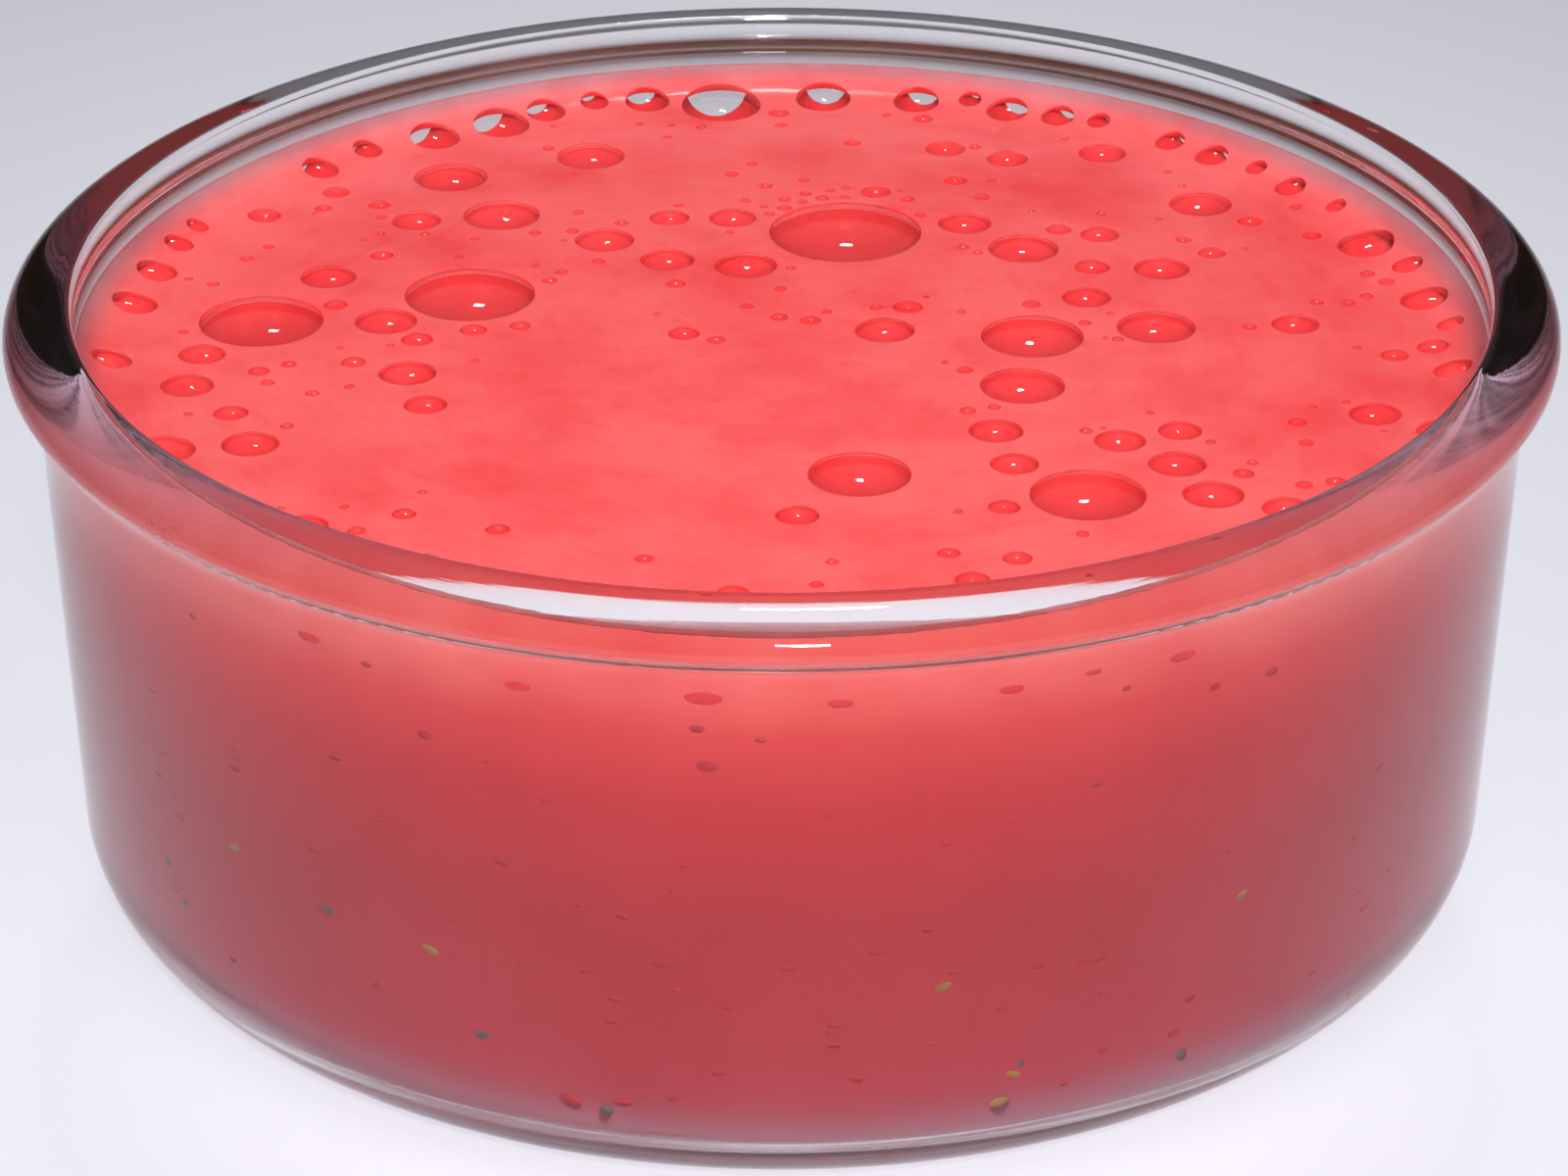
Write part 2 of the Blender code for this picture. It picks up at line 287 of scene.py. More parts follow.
def glass_material():
    """Clear glass, with faint ripples and drawn streaks from the mould, and scuffs on its bead."""
    material, tree = new_material("clear pressed glass")
    shader = add_node(
        tree,
        "ShaderNodeBsdfPrincipled",
        {"Base Color": GLASS_TINT, "IOR": GLASS_IOR, "Transmission Weight": 1.0},
    )
    ripple_bump = add_node(tree, "ShaderNodeBump", {"Strength": 0.04, "Distance": 0.5 * MM})
    streak_bump = add_node(tree, "ShaderNodeBump", {"Strength": 0.1, "Distance": 0.02 * MM})
    tree.links.new(noise(tree, 90.0, 1.0), ripple_bump.inputs["Height"])
    tree.links.new(streaks(tree, 0.8, 4200.0, 2.0), streak_bump.inputs["Height"])
    tree.links.new(ripple_bump.outputs["Normal"], streak_bump.inputs["Normal"])
    tree.links.new(streak_bump.outputs["Normal"], shader.inputs["Normal"])

    # the scuffs are patches of fine scratches, where the bead stands out furthest
    bowl_place = add_node(tree, "ShaderNodeGroup", node_tree=ROUND_THE_BOWL)
    on_bead = ranged(tree, bowl_place.outputs["Radius"], SCUFFED_FROM, SCUFFED_ALL)
    patches = ranged(tree, noise(tree, 45.0, 1.0), 0.66, 0.72)
    scratches = ranged(tree, noise(tree, 2600.0, 1.0), 0.45, 0.6, to_high=0.5)
    scuffs = product(tree, product(tree, on_bead, patches), scratches)
    tree.links.new(scuffs, shader.inputs["Roughness"])
    clear_to_lamps(tree, shader, GLASS_PASSES)
    return material


bowl.data.materials.append(glass_material())
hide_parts("glass_bowl")
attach(bowl, "root")

# The froth
# Loose air bubbles from the blender, 0.5 to 11 mm across, each under a thin wet film of the
# drink that it floats on. The large ones lie in a few groups, others have drifted to the
# glass, and small ones fill in between.

LARGE_BUBBLES = (
    # back, left of the middle: (x, y, diameter) in millimetres
    (-24, 29.5, 5.3), (-14, 33.5, 5.0), (-20, 22.5, 5.5), (-26, 21.5, 3.5), (-12.5, 18, 4.2),
    (-8, 14.5, 3.8), (-2.5, 13.5, 4.4), (-8, 22, 2.9), (-3.5, 22, 3.4),
    # back, right of the middle
    (4.5, 19.5, 10.8), (13, 21, 3.8), (17, 16.5, 5.0), (30, 24.5, 4.5), (22.5, 19, 2.8),
    (26.5, 13, 3.9), (23.5, 34, 3.5), (16.5, 33, 3.0), (12, 35, 3.0),
    # left side
    (-21.5, 8.5, 9.0), (-35.5, 4, 8.5), (-27, 4, 4.3), (-31.5, 11.5, 3.9), (-25, -4.5, 3.9),
    (-23.5, -9.5, 2.9), (-39, -1.5, 3.2), (-39.5, -6.5, 3.6), (-34.5, -15.5, 3.8),
    (-40, -16.5, 4.2), (-30, -27.5, 3.1),
    # middle and right side
    (7, 2.5, 4.1), (17, 1.5, 7.0), (25.5, 3, 5.4), (16, -6.5, 5.7), (21, 8, 3.4),
    (35, 3.5, 3.3), (39, -11, 3.5),
    # front, right of the middle
    (19.5, -23, 7.5), (5, -20, 6.7), (14, -13.5, 3.6), (15, -18.5, 3.2), (22, -15, 3.4),
    (26, -13.5, 2.9), (25.5, -18.5, 3.8), (27.5, -23, 4.0), (32, -25, 3.2), (1, -26, 2.8),
)  # fmt: skip

# Bubbles at the glass: (degrees round the wall from +X, diameter in millimetres)
WALL_BUBBLES = (
    (-18, 2.9), (-6, 2.7), (3, 1.9), (9, 3.4), (16, 2.2), (22, 4.1), (30, 1.5), (36, 2.3),
    (41, 1.6), (46, 2.5), (51, 2.2), (59, 1.7), (63, 2.5), (68, 3.1), (72, 1.7), (77, 3.4),
    (86, 4.1), (96, 5.9), (103, 3.3), (108, 2.1), (113, 2.9), (118, 4.2), (125, 3.7),
    (132, 2.2), (138, 2.7), (155, 1.6), (159, 2.1), (165, 2.9), (172, 3.2), (184, 2.8),
    (235, 2.5), (240, 1.7), (251, 2.5), (265, 3.4), (274, 2.1), (287, 2.0), (295, 1.6),
    (301, 2.2),
)  # fmt: skip
WALL_BUBBLE_CLEARANCE = 0.9 * MM

SMALL_BUBBLE_COUNT = 74
SMALL_BUBBLE_DIAMETER = (1.0 * MM, 2.6 * MM)
SMALL_BUBBLE_SPACING = 0.45 * MM
SMALL_BUBBLE_REACH = 6.5 * MM
SMALL_BUBBLE_FIELD = 44.0 * MM
SMALL_BUBBLE_BIAS = 1.7
BARE_PATCHES = ((-9, -14, 15.5), (31, -4, 6))
BUBBLE_SEED = 11

# Remains of a burst bubble, on the far side of the largest one
BURST_BUBBLES = (
    (-0.9, 22.7, 0.9), (0.2, 23.8, 1.1), (1.5, 24.9, 0.8), (2.9, 25.6, 1.0), (4.5, 25.8, 0.8),
    (-1.3, 24.1, 0.7), (0.2, 25.4, 1.0), (1.7, 26.4, 0.9), (3.5, 27.0, 0.8), (-2.6, 25.1, 0.8),
)  # fmt: skip
TINY_BUBBLE_COUNT = 90
TINY_BUBBLE_DIAMETER = (0.45 * MM, 1.0 * MM)
TINY_BUBBLE_SPACING = 0.15 * MM
TINY_BUBBLE_REACH = 2.6 * MM

MENISCUS_RISE = 1.7 * MM
MENISCUS_REACH = 1.5 * MM
DOME_SHARE = 0.1
SMALL_DOME_SHARE = 0.09
SMALL_DOME_SIZE = 4.0 * MM
FILM_THICKNESS = 0.04 * MM
FILM_FOOT = 0.1 * MM
FILM_TINT = (1.0, 0.93, 0.93, 1.0)
FILM_PASSES = 0.97


def surface_height(r):
    """The drink's top: level in the middle, and climbing the glass at the edge."""
    return FILL_HEIGHT + MENISCUS_RISE * math.exp(-(FILL_LINE_RADIUS - r) / MENISCUS_REACH)


def on_bare_patch(x, y):
    """True on the parts of the surface that the froth leaves bare."""
    return any(math.hypot(x / MM - px, y / MM - py) < reach for px, py, reach in BARE_PATCHES)


def smallest_gap(x, y, diameter, bubbles):
    """How far a bubble is clear of the nearest of the others."""
    return min(math.hypot(x - bx, y - by) - (diameter + bd) / 2 for bx, by, bd in bubbles)


def scatter_bubbles(bubbles, count, sizes, spacing, reach_to_next, bias, rng):
    """Adds bubbles one by one, each near others and clear of all of them."""
    wanted = len(bubbles) + count
    smallest, largest = sizes
    while len(bubbles) < wanted:
        angle = rng.uniform(0.0, 2.0 * math.pi)
        reach = SMALL_BUBBLE_FIELD * math.sqrt(rng.random())
        diameter = smallest + (largest - smallest) * rng.random() ** bias
        x, y = reach * math.cos(angle), reach * math.sin(angle)
        gap = smallest_gap(x, y, diameter, bubbles)
        if spacing < gap < reach_to_next and not on_bare_patch(x, y):
            bubbles.append((x, y, diameter))


def bubble_layout():
    """The bubbles of a millimetre and more, as (x, y, diameter) in metres."""
    bubbles = [(x * MM, y * MM, diameter * MM) for x, y, diameter in LARGE_BUBBLES]
    for degrees, diameter in WALL_BUBBLES:
        reach = FILL_LINE_RADIUS - WALL_BUBBLE_CLEARANCE - diameter * MM / 2
        angle = math.radians(degrees)
        bubbles.append((reach * math.cos(angle), reach * math.sin(angle), diameter * MM))
    scatter_bubbles(
        bubbles,
        SMALL_BUBBLE_COUNT,
        SMALL_BUBBLE_DIAMETER,
        SMALL_BUBBLE_SPACING,
        SMALL_BUBBLE_REACH,
        SMALL_BUBBLE_BIAS,
        random.Random(BUBBLE_SEED),
    )
    return bubbles


def tiny_bubble_layout(bubbles):
    """The remains of the burst bubble, and the smallest bubbles between all the others."""
    crowd = list(bubbles)
    for x, y, diameter in BURST_BUBBLES:
        if smallest_gap(x * MM, y * MM, diameter * MM, crowd) > 0:
            crowd.append((x * MM, y * MM, diameter * MM))
    scatter_bubbles(
        crowd,
        TINY_BUBBLE_COUNT,
        TINY_BUBBLE_DIAMETER,
        TINY_BUBBLE_SPACING,
        TINY_BUBBLE_REACH,
        1.0,
        random.Random(BUBBLE_SEED + 1),
    )
    return crowd[len(bubbles):]


def dome_height(diameter):
    """Small bubbles stand up more, for their width, than large ones."""
    return diameter * (DOME_SHARE + SMALL_DOME_SHARE * math.exp(-diameter / SMALL_DOME_SIZE))


def join_copies(name, model, shapes):
    """Copies a model piece once for each list of points, and joins the copies."""
    bpy.ops.object.select_all(action="DESELECT")
    for points in shapes:
        copy = bpy.data.objects.new(name, model.data.copy())
        bpy.context.scene.collection.objects.link(copy)
        copy.data.vertices.foreach_set("co", [axis for point in points for axis in point])
        copy.select_set(True)
        bpy.context.view_layer.objects.active = copy
    bpy.ops.object.join()
    joined = bpy.context.object
    joined.name = name
    return joined


def ball_model(sides, rings):
    """A sphere of radius 1."""
    bpy.ops.object.select_all(action="DESELECT")
    bpy.ops.mesh.primitive_uv_sphere_add(segments=sides, ring_count=rings, radius=1)
    return bpy.context.object


def cap_model(sides, rings):
    """The upper half of a sphere of radius 1, open below."""
    cap = ball_model(sides, rings)
    bpy.ops.object.mode_set(mode="EDIT")
    bpy.ops.mesh.select_all(action="SELECT")
    bpy.ops.mesh.bisect(plane_co=(0, 0, 0.01), plane_no=(0, 0, 1), clear_inner=True)
    bpy.ops.object.mode_set(mode="OBJECT")
    return cap


def film_points(cap, x, y, diameter):
    """The points of one bubble's film: a low cap of a sphere, with its open edge in the drink."""
    radius, height = diameter / 2 + 0.5 * FILM_FOOT, dome_height(diameter)
    sphere = (radius**2 + height**2) / (2 * height)
    points = []
    for v in cap.data.vertices:
        # the model's points are spread evenly over the cap, by their angle from its top
        turn = math.atan2(v.co.y, v.co.x)
        share = math.acos(max(-1.0, min(1.0, v.co.z))) / (math.pi / 2)
        tilt = min(1.0, share) * math.asin(radius / sphere)
        px = x + sphere * math.sin(tilt) * math.cos(turn)
        py = y + sphere * math.sin(tilt) * math.sin(turn)
        at_edge = share > 0.98
        rise = height - sphere * (1 - math.cos(tilt)) - (FILM_FOOT if at_edge else 0)
        points.append((px, py, surface_height(math.hypot(px, py)) + rise))
    return points


def film_material():
    """The thin wet skin of a bubble, clear with a trace of the drink's pink."""
    material, tree = new_material("bubble film")
    shader = add_node(
        tree,
        "ShaderNodeBsdfPrincipled",
        {"Base Color": FILM_TINT, "IOR": 1.34, "Transmission Weight": 1.0, "Roughness": 0.02},
    )
    sag_bump = add_node(tree, "ShaderNodeBump", {"Strength": 0.05, "Distance": 0.3 * MM})
    tree.links.new(noise(tree, 420.0, 1.0), sag_bump.inputs["Height"])
    tree.links.new(sag_bump.outputs["Normal"], shader.inputs["Normal"])
    clear_to_lamps(tree, shader, FILM_PASSES)
    return material


bubbles = bubble_layout()
tiny_bubbles = tiny_bubble_layout(bubbles)
film_finish = film_material()
for name, cap, group in (
    ("bubble_films", cap_model(24, 12), bubbles),
    ("tiny_bubble_films", cap_model(10, 6), tiny_bubbles),
):
    films = join_copies(name, cap, [film_points(cap, *bubble) for bubble in group])
    bpy.data.objects.remove(cap)
    thicken = films.modifiers.new("Thickness", "SOLIDIFY")
    thicken.thickness = FILM_THICKNESS
    # the thickness goes inwards
    thicken.offset = -1
    bpy.ops.object.modifier_apply(modifier=thicken.name)
    smooth(films, 60)
    films.data.materials.append(film_finish)
    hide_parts("smoothie")
    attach(films, "root")

# The drink
# Strawberries blended with milk, poured in to just below the lip. It is opaque and thick,
# wets the glass all over, climbs it a little at the edge, and is dented under each bubble.

INTO_GLASS = 0.15 * MM
DRINK_SIDES = 160
MENISCUS_RINGS = 9
MENISCUS_CROWDING = 1.6
LEVEL_MARGIN = 0.5 * MM

WELL_SHARE = 0.13
SMALL_WELL_SHARE = 0.3
SMALL_WELL_SIZE = 4 * MM
WALL_WELL_SHARE = 0.5
WELL_HEADROOM = 1 * MM
AT_GLASS_WITHIN = 1.5 * MM
OPENING_SHARE = 0.45
OPENING_DEPTH = 0.12
OPEN_FROM_Y = -10 * MM

SURFACE_COLOUR = (0.82, 0.118, 0.120)
# painted shade: the darker mauve that the surface turns to where it climbs the glass, with the grey
# seen through the thin drink painted in
EDGE_SHADE_COLOUR = (0.42, 0.16, 0.18)
EDGE_FROM = 37.9 * MM
EDGE_ALL = 38.9 * MM
# painted shade: the deeper red inside the hollows under the bubbles
WELL_SHADE_COLOUR = (0.66, 0.034, 0.038)
# The drink as it shows through the glass, with painted light: paler at the top where light comes in
# through the surface, deeper red lower down partly as painted shade, and a painted mauve reflection
# near the bottom: (share of the bowl's height, colour)
SIDE_LIT_AND_SHADED_COLOURS = (
    (0.10, (0.26, 0.018, 0.029)),
    (0.25, (0.255, 0.010, 0.016)),
    (0.45, (0.26, 0.006, 0.009)),
    (0.66, (0.34, 0.007, 0.009)),
    (0.78, (0.45, 0.023, 0.020)),
    (0.87, (0.56, 0.080, 0.068)),
)
PULP_DEPTH = (0.92, 0.55, 0.58)
LIGHT_REACH = (1.0, 0.25, 0.2)
LIGHT_REACH_SIZE = 1.2 * MM
HAZE_TINT = (0.80, 0.66, 0.85, 1.0)
DRINK_IN_GLASS_IOR = 0.9

drink_edge = FILL_LINE_RADIUS + INTO_GLASS
level_radius = FILL_LINE_RADIUS - 5 * MENISCUS_REACH
drink_rings = [(FLOOR_WALL_RADIUS + INTO_GLASS, BASE_THICKNESS - INTO_GLASS)]
for z in (BASE_THICKNESS + FLOOR_CORNER, 20 * MM, 30 * MM, FILL_HEIGHT):
    drink_rings.append((inner_wall_radius(z) + INTO_GLASS, z))
for step in range(MENISCUS_RINGS + 1):
    r = drink_edge - (drink_edge - level_radius) * (step / MENISCUS_RINGS) ** MENISCUS_CROWDING
    drink_rings.append((r, surface_height(r)))
drink_rings.append((level_radius - LEVEL_MARGIN, FILL_HEIGHT))

drink = turned_solid("smoothie_drink", drink_rings, DRINK_SIDES)
round_ring(drink, FLOOR_WALL_RADIUS + INTO_GLASS, BASE_THICKNESS - INTO_GLASS, FLOOR_CORNER, steps=8)


def well_depth(diameter):
    """How far a bubble dents the drink: small ones sit deep, large ones spread out."""
    return diameter * (WELL_SHARE + SMALL_WELL_SHARE * math.exp(-diameter / SMALL_WELL_SIZE))


def well_points(ball, x, y, diameter):
    """The points of the hollow under one bubble."""
    from_axis = math.hypot(x, y)
    base = surface_height(from_axis)
    at_glass = from_axis + diameter / 2 > FILL_LINE_RADIUS - AT_GLASS_WITHIN
    depth = WALL_WELL_SHARE * diameter if at_glass else well_depth(diameter)
    top = dome_height(diameter) + WELL_HEADROOM
    points = []
    for v in ball.data.vertices:
        px, py = x + v.co.x * diameter / 2, y + v.co.y * diameter / 2
        pz = base + v.co.z * (depth if v.co.z < 0 else top)
        if at_glass and y > OPEN_FROM_Y:
            # below the surface, the hollow opens out against the glass
            outward = max(0.0, (v.co.x * x + v.co.y * y) / from_axis)
            sunk = max(0.0, min(1.0, -v.co.z / OPENING_DEPTH))
            stretch = outward * sunk * (WALL_BUBBLE_CLEARANCE + OPENING_SHARE * diameter)
            px += x / from_axis * stretch
            py += y / from_axis * stretch
        points.append((px, py, pz))
    return points


well_parts = []
for ball, group in ((ball_model(28, 14), bubbles), (ball_model(12, 8), tiny_bubbles)):
    well_parts.append(join_copies("wells", ball, [well_points(ball, *bubble) for bubble in group]))
    bpy.data.objects.remove(ball)
bpy.ops.object.select_all(action="DESELECT")
for part in well_parts:
    part.select_set(True)
bpy.context.view_layer.objects.active = well_parts[0]
bpy.ops.object.join()
wells = bpy.context.object


def feed(tree, colour, socket):
    """Gives a socket a plain colour, or links it to another node's output."""
    if isinstance(colour, bpy.types.NodeSocket):
        tree.links.new(colour, socket)
    else:
        socket.default_value = (*colour, 1.0)


def mixed_colours(tree, share, first, second, blend="MIX"):
    """The output of a node that blends a second colour with a first, by a share from 0 to 1."""
    mix = add_node(tree, "ShaderNodeMix", data_type="RGBA", blend_type=blend)
    # the colour sockets have the same names as those for numbers, so they go by their place
    tree.links.new(share, mix.inputs[0])
    feed(tree, first, mix.inputs[6])
    feed(tree, second, mix.inputs[7])
    return mix.outputs[2]


def colour_ramp(tree, value, stops):
    """The output of a ramp through its stops, each a position from 0 to 1 and a colour."""
    ramp = add_node(tree, "ShaderNodeValToRGB")
    marks = ramp.color_ramp.elements
    marks[0].position, marks[0].color = stops[0][0], (*stops[0][1], 1.0)
    marks[1].position, marks[1].color = stops[-1][0], (*stops[-1][1], 1.0)
    for position, colour in stops[1:-1]:
        marks.new(position).color = (*colour, 1.0)
    tree.links.new(value, ramp.inputs["Fac"])
    return ramp.outputs["Color"]


def fruit_colour():
    """A node group: the drink's colour, uneven from clouds of pulp and fine drawn-out streaks."""
    group = bpy.data.node_groups.new("fruit colour", "ShaderNodeTree")
    group.interface.new_socket("Colour", in_out="INPUT", socket_type="NodeSocketColor")
    group.interface.new_socket("Uneven Colour", in_out="OUTPUT", socket_type="NodeSocketColor")
    given = add_node(group, "NodeGroupInput")
    out = add_node(group, "NodeGroupOutput")
    clouds = ranged(group, noise(group, 95.0, 4.0, 0.55), 0.42, 0.72)
    drawn = ranged(group, streaks(group, 9.0, 700.0, 3.0), 0.5, 0.75, to_high=0.35)
    uneven = add_node(group, "ShaderNodeMath", operation="ADD", use_clamp=True)
    group.links.new(clouds, uneven.inputs[0])
    group.links.new(drawn, uneven.inputs[1])
    colour = mixed_colours(
        group, uneven.outputs["Value"], given.outputs["Colour"], PULP_DEPTH, blend="MULTIPLY"
    )
    group.links.new(colour, out.inputs["Uneven Colour"])
    return group


FRUIT_COLOUR = fruit_colour()


def drink_shader(tree, colour, roughness, gloss, soft, haze=0.0):
    """Opaque wet fruit and milk, of an uneven colour.

    Soft is the share of the light that goes a little way in, and haze a milky veil that shows
    at a slant.
    """
    shader = add_node(
        tree,
        "ShaderNodeBsdfPrincipled",
        {
            "Roughness": roughness,
            "IOR": 1.35,
            "Specular IOR Level": gloss,
            "Subsurface Weight": soft,
            "Subsurface Radius": LIGHT_REACH,
            "Subsurface Scale": LIGHT_REACH_SIZE,
            "Sheen Weight": haze,
            "Sheen Roughness": 0.5,
            "Sheen Tint": HAZE_TINT,
        },
        subsurface_method="BURLEY",
    )
    pulp = add_node(tree, "ShaderNodeGroup", node_tree=FRUIT_COLOUR)
    feed(tree, colour, pulp.inputs["Colour"])
    tree.links.new(pulp.outputs["Uneven Colour"], shader.inputs["Base Color"])
    return shader


def surface_material():
    """The drink's wet open surface, with painted shade where it thins and climbs the glass: darker and
    mauve there, with the grey seen through it painted in.
    """
    material, tree = new_material("smoothie surface")
    bowl_place = add_node(tree, "ShaderNodeGroup", node_tree=ROUND_THE_BOWL)
    edge_shade = ranged(tree, bowl_place.outputs["Height"], EDGE_FROM, EDGE_ALL)
    colour = mixed_colours(tree, edge_shade, SURFACE_COLOUR, EDGE_SHADE_COLOUR)
    shader = drink_shader(tree, colour, roughness=0.16, gloss=0.5, soft=1.0)
    output = add_node(tree, "ShaderNodeOutputMaterial")
    tree.links.new(shader.outputs["BSDF"], output.inputs["Surface"])
    return material


def glass_side_material():
    """The drink where it wets the glass: pale at the top from froth and from painted light that comes
    in through the surface, and deeper red further down, partly as painted shade.

    Glass mirrors light that comes along it to the drink, as the drink is the thinner of the two.
    """
    material, tree = new_material("smoothie at the glass")
    bowl_place = add_node(tree, "ShaderNodeGroup", node_tree=ROUND_THE_BOWL)
    level = ranged(tree, bowl_place.outputs["Height"], 0.0, BOWL_HEIGHT)
    colour = colour_ramp(tree, level, SIDE_LIT_AND_SHADED_COLOURS)
    shader = drink_shader(tree, colour, roughness=0.6, gloss=0.0, soft=0.0, haze=0.55)
    mirror = add_node(tree, "ShaderNodeBsdfGlossy", {"Roughness": 0.02, "Color": (0.9, 0.9, 0.9, 1.0)})
    slant = add_node(tree, "ShaderNodeFresnel", {"IOR": DRINK_IN_GLASS_IOR})
    # the drink doesn't lie against the glass evenly everywhere
    wet_share = ranged(tree, streaks(tree, 1.6, 1100.0, 3.0), 0.38, 0.62, to_low=0.25, to_high=0.85)
    mirrored = product(tree, slant.outputs["Fac"], wet_share)
    mix = add_node(tree, "ShaderNodeMixShader")
    output = add_node(tree, "ShaderNodeOutputMaterial")
    tree.links.new(mirrored, mix.inputs["Fac"])
    tree.links.new(shader.outputs["BSDF"], mix.inputs[1])
    tree.links.new(mirror.outputs["BSDF"], mix.inputs[2])
    tree.links.new(mix.outputs["Shader"], output.inputs["Surface"])
    return material


def well_material():
    """The drink under a bubble, with painted shade: deeper red inside the hollow."""
    material, tree = new_material("smoothie under a bubble")
    shader = drink_shader(tree, WELL_SHADE_COLOUR, roughness=0.5, gloss=0.1, soft=1.0)
    output = add_node(tree, "ShaderNodeOutputMaterial")
    tree.links.new(shader.outputs["BSDF"], output.inputs["Surface"])
    return material


# the finishes' places in the list of materials
ON_GLASS = 1
UNDER_BUBBLE = 2
drink_finishes = (surface_material(), glass_side_material(), well_material())
for piece in (drink, wells):
    for finish in drink_finishes:
        piece.data.materials.append(finish)
for face in wells.data.polygons:
    face.material_index = UNDER_BUBBLE
for face in drink.data.polygons:
    if face.normal.z < 0.05:
        face.material_index = ON_GLASS

dent = drink.modifiers.new("Wells", "BOOLEAN")
dent.operation = "DIFFERENCE"
dent.object = wells
dent.solver = "MANIFOLD"
bpy.ops.object.select_all(action="DESELECT")
bpy.context.view_layer.objects.active = drink
drink.select_set(True)
bpy.ops.object.modifier_apply(modifier=dent.name)
bpy.data.objects.remove(wells)
smooth(drink, 35)
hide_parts("smoothie")
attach(drink, "root")

# The seeds and fruit bits
# What the blender left of the berries: seeds 1 mm long, specks of leaf, and flakes of red
# skin and flesh, with small air bubbles among them. They are sunk in the drink, and show
# where they lie against the glass.

# (degrees round the wall, height, length, tilt in degrees), with sizes in millimetres
SEEDS = (
    (223.2, 17.2, 1.3, 15), (242.5, 15.2, 1.5, -12), (307.5, 16.7, 1.2, 30), (288, 7.7, 1.2, -20),
    (287, 5.7, 1.3, 10), (282.2, 15, 1.4, 25), (12, 14, 1.3, 40), (38, 22, 1.2, -15),
    (71, 9, 1.4, 5), (104, 18, 1.2, 60), (139, 12, 1.3, -35), (168, 20, 1.4, 20), (195, 8, 1.2, 0),
)  # fmt: skip
LEAF_SPECKS = (
    (246.5, 9.7, 1.3, 5), (215.5, 10.2, 0.9, 30), (213.2, 12.5, 1.0, -10), (233, 15.7, 1.4, 0),
    (288.6, 8.4, 0.8, 70), (302.7, 6, 0.8, 10), (256.5, 5.6, 0.9, 0), (25, 11, 1.1, 20),
    (88, 15, 0.9, 0), (151, 7, 1.2, -25),
)  # fmt: skip
SKIN_FLAKES = (
    (274, 12.7, 1.2, 5), (274, 11.2, 1.3, 0), (270.5, 17, 1.4, 3), (261.2, 17, 1.9, 4),
    (258.2, 20.2, 1.2, -3), (277.2, 18, 1.6, 0), (237.2, 11.2, 0.8, 50), (283, 16, 1.2, 8),
    (263, 24.2, 0.9, 0), (266, 14, 1.0, 12),
)  # fmt: skip
# Small bubbles below the surface, against the glass, drawn as flat bits whose dark red is painted
# shade: (degrees round the wall, height, diameter)
SUNK_BUBBLES = (
    (264, 34.2, 1.2), (268.5, 33.5, 0.9), (264.7, 31.5, 1.7), (243.2, 31, 1.3), (252.7, 28, 1.0),
    (273.5, 28, 0.7), (282, 25.5, 0.8), (308.5, 32.7, 1.3), (295.5, 34.7, 0.8), (303.2, 33, 1.0),
    (238.7, 35.2, 1.0), (221, 33.5, 1.0), (331, 30, 0.9), (200, 30, 1.0), (20, 33, 1.2),
    (60, 31, 1.5), (95, 34, 1.1), (130, 29, 1.4), (160, 33, 1.0),
)  # fmt: skip
# Bubbles that float at the front wall, as they show through it, drawn as flat bits whose red is painted
# shade: (degrees, height, diameter)
FRONT_BUBBLES = (
    (251, 36.1, 2.2), (264.5, 36.6, 3.0), (274.2, 36.2, 2.0), (286.5, 36.2, 2.0), (300, 36.2, 2.4),
    (233.7, 36, 2.2), (292.7, 36.5, 1.4),
)  # fmt: skip

LOOSE_FLAKE_COUNT = 190
FLAKE_LENGTH = (0.4, 1.5)
FLAKE_HEIGHTS = (4.5, 30.0)
FLAKE_TILT = 12
FLAKE_SEED = 5
BIT_THICKNESS = 0.24 * MM
BIT_OUTWARD = 0.08 * MM


def against_glass(ball, slimness, degrees, height, length, tilt=0):
    """The points of a flat oval bit that lies against the inside of the glass."""
    angle, turn, z = math.radians(degrees), math.radians(tilt), height * MM
    middle = inner_wall_radius(z) + BIT_OUTWARD
    half_long = length * MM / 2
    half_high = slimness * half_long
    points = []
    for v in ball.data.vertices:
        along = v.co.x * half_long * math.cos(turn) - v.co.z * half_high * math.sin(turn)
        rise = v.co.x * half_long * math.sin(turn) + v.co.z * half_high * math.cos(turn)
        reach = middle + v.co.y * BIT_THICKNESS / 2
        around = angle + along / middle
        points.append((reach * math.cos(around), reach * math.sin(around), z + rise))
    return points


def bit_material(name, dark, light, roughness, soft):
    """A wet bit of fruit, mottled between two colours; the bubbles against the glass use it too, in
    painted shade.
    """
    material, tree = new_material(name)
    shader = add_node(
        tree,
        "ShaderNodeBsdfPrincipled",
        {
            "Roughness": roughness,
            "Specular IOR Level": 0.1,
            "Subsurface Weight": soft,
            "Subsurface Radius": LIGHT_REACH,
            "Subsurface Scale": 0.5 * MM,
        },
    )
    mottled = mixed_colours(tree, noise(tree, 900.0, 2.0), dark, light)
    output = add_node(tree, "ShaderNodeOutputMaterial")
    tree.links.new(mottled, shader.inputs["Base Color"])
    tree.links.new(shader.outputs["BSDF"], output.inputs["Surface"])
    return material


flake_rng = random.Random(FLAKE_SEED)
loose_flakes = []
for count in range(LOOSE_FLAKE_COUNT):
    degrees = flake_rng.uniform(0, 360)
    height = flake_rng.uniform(*FLAKE_HEIGHTS)
    length = flake_rng.uniform(*FLAKE_LENGTH)
    loose_flakes.append((degrees, height, length, flake_rng.uniform(-FLAKE_TILT, FLAKE_TILT)))

